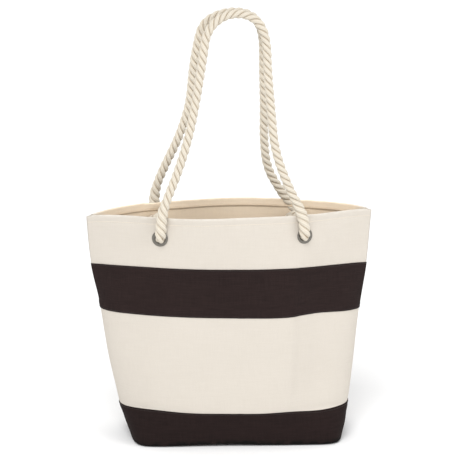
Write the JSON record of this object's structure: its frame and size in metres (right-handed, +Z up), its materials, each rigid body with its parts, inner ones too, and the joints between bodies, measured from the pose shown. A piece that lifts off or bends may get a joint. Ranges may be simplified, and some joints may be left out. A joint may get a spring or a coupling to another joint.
{
  "type": "beach bag",
  "caption": "open canvas tote with a boxed bottom, sewn from natural and dark strips, with an eyelet-mounted twisted rope handle on each wall",
  "frame": {"origin": "on the floor, under the middle of the mouth", "axes": "+Z up, +X along the mouth to the right, -Y is the front wall"},
  "size_m": [0.466, 0.144, 0.7107],
  "materials": {
    "natural_canvas": "unbleached cotton canvas, plain weave, matte",
    "dark_canvas": "dark brown-black cotton canvas, plain weave, matte",
    "seam_binding": "overlocked seam allowance, natural cotton",
    "cotton_rope": "three-strand twisted cotton rope, soft and matte",
    "whipping_thread": "waxed natural thread",
    "eyelet_metal": "nickel-plated, smooth with handling marks"
  },
  "bodies": {
    "bag": {"front_top_panel": "natural_canvas", "front_upper_stripe": "dark_canvas", "front_middle_panel": "natural_canvas", "front_base_band": "dark_canvas", "front_hem_facing": "natural_canvas", "back_top_panel": "natural_canvas", "back_upper_stripe": "dark_canvas", "back_middle_panel": "natural_canvas", "back_base_band": "dark_canvas", "back_hem_facing": "natural_canvas", "bottom_panel": "dark_canvas", "left_side_seam": "seam_binding", "right_side_seam": "seam_binding", "left_corner_seam": "seam_binding", "right_corner_seam": "seam_binding", "front_left_eyelet": "eyelet_metal", "front_right_eyelet": "eyelet_metal", "back_left_eyelet": "eyelet_metal", "back_right_eyelet": "eyelet_metal", "front_left_washer": "eyelet_metal", "front_right_washer": "eyelet_metal", "back_left_washer": "eyelet_metal", "back_right_washer": "eyelet_metal", "front_left_knot": "cotton_rope", "front_right_knot": "cotton_rope", "back_left_knot": "cotton_rope", "back_right_knot": "cotton_rope", "front_left_whipping": "whipping_thread", "front_right_whipping": "whipping_thread", "back_left_whipping": "whipping_thread", "back_right_whipping": "whipping_thread"},
    "front_handle": {"front_handle_rope": "cotton_rope"},
    "back_handle": {"back_handle_rope": "cotton_rope"}
  },
  "joints": [
    {"name": "front_handle_swing", "type": "hinge", "parent": "bag", "child": "front_handle", "pos_m": [0, -0.06155, 0.3473], "axis": [1, 0, 0], "range_deg": [0, 150]},
    {"name": "back_handle_swing", "type": "hinge", "parent": "bag", "child": "back_handle", "pos_m": [0, 0.06155, 0.3473], "axis": [-1, 0, 0], "range_deg": [0, 150]}
  ]
}
